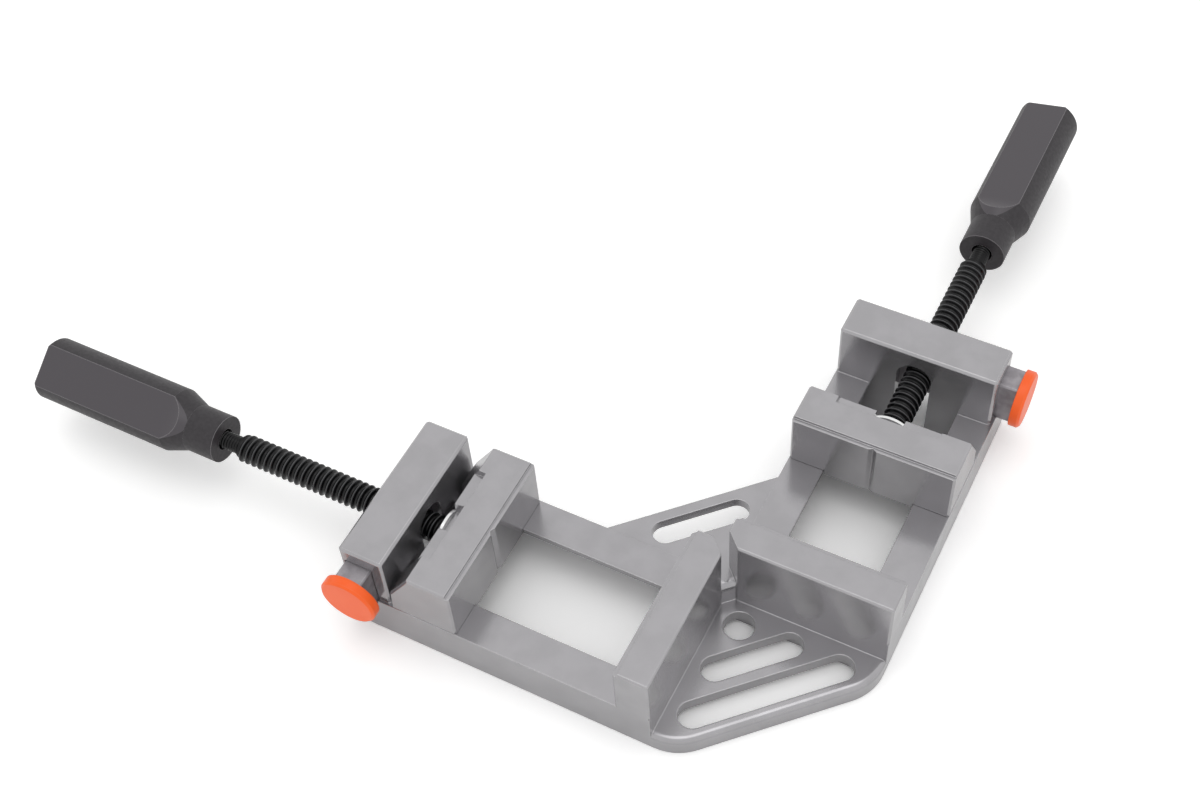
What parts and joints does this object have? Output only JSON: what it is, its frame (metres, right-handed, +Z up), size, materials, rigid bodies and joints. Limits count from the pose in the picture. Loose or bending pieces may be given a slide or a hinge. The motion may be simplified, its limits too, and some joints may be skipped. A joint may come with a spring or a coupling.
{
  "type": "corner clamp",
  "caption": "Right-angle corner clamp: slotted casting with fixed jaws, screw-driven moving jaws with long flat-sided handles, and quick-release push buttons.",
  "frame": {"origin": "the work corner, where the planes of the two fixed clamping faces meet, taken down to the bench the casting stands on", "axes": "+Z up; -X runs outward along the left arm, +Y runs outward along the right arm, so the work corner opens towards -X and +Y"},
  "size_m": [0.3778, 0.3583, 0.0483],
  "materials": {
    "casting": "satin grey cast metal with a fine grain",
    "jaw_casting": "satin grey cast metal with a fine grain",
    "keeper_steel": "plain steel",
    "screw_steel": "darkened steel",
    "spindle_steel": "black oxide, slightly glossy",
    "washer_steel": "bright zinc",
    "pin_steel": "plain steel",
    "handle_plastic": "charcoal, satin",
    "release_metal": "rough grey cast metal",
    "button_plastic": "orange, soft gloss",
    "spring_steel": "plain spring wire"
  },
  "bodies": {
    "clamp_frame": {"frame": "casting", "left_release_spring": "spring_steel", "right_release_spring": "spring_steel"},
    "left_jaw": {"left_moving_jaw": "jaw_casting", "left_keeper_plate": "keeper_steel", "left_keeper_screws": "screw_steel", "left_thrust_washer": "washer_steel", "left_retaining_pin": "pin_steel"},
    "left_screw": {"left_spindle": "spindle_steel", "left_handle": "handle_plastic"},
    "left_release": {"left_release_bar": "release_metal", "left_release_button": "button_plastic"},
    "right_jaw": {"right_moving_jaw": "jaw_casting", "right_keeper_plate": "keeper_steel", "right_keeper_screws": "screw_steel", "right_thrust_washer": "washer_steel", "right_retaining_pin": "pin_steel"},
    "right_screw": {"right_spindle": "spindle_steel", "right_handle": "handle_plastic"},
    "right_release": {"right_release_bar": "release_metal", "right_release_button": "button_plastic"}
  },
  "joints": [
    {"name": "left_jaw_slide", "type": "slide", "parent": "clamp_frame", "child": "left_jaw", "axis": [-1, 0, 0], "range_m": [-0.068, 0.0006]},
    {"name": "left_screw_turn", "type": "hinge", "parent": "left_jaw", "child": "left_screw", "pos_m": [-0.145, -0.04725, 0.0305], "axis": [-1, 0, 0], "range_deg": [-8172, 84]},
    {"name": "left_release_press", "type": "slide", "parent": "clamp_frame", "child": "left_release", "axis": [0, 1, 0], "range_m": [0, 0.0035], "stiffness_N_per_m": 1500, "springref_m": -0.004, "deforming": ["left_release_spring"]},
    {"name": "right_jaw_slide", "type": "slide", "parent": "clamp_frame", "child": "right_jaw", "axis": [0, 1, 0], "range_m": [-0.0485, 0.0201]},
    {"name": "right_screw_turn", "type": "hinge", "parent": "right_jaw", "child": "right_screw", "pos_m": [0.04725, 0.145, 0.0305], "axis": [0, 1, 0], "range_deg": [-5832, 2424]},
    {"name": "right_release_press", "type": "slide", "parent": "clamp_frame", "child": "right_release", "axis": [-1, 0, 0], "range_m": [0, 0.0035], "stiffness_N_per_m": 1500, "springref_m": -0.004, "deforming": ["right_release_spring"]}
  ],
  "couplings": [
    {"joint": "left_screw_turn", "follows": "left_jaw_slide", "rad_per_m": 2094.4},
    {"joint": "right_screw_turn", "follows": "right_jaw_slide", "rad_per_m": 2094.4}
  ]
}
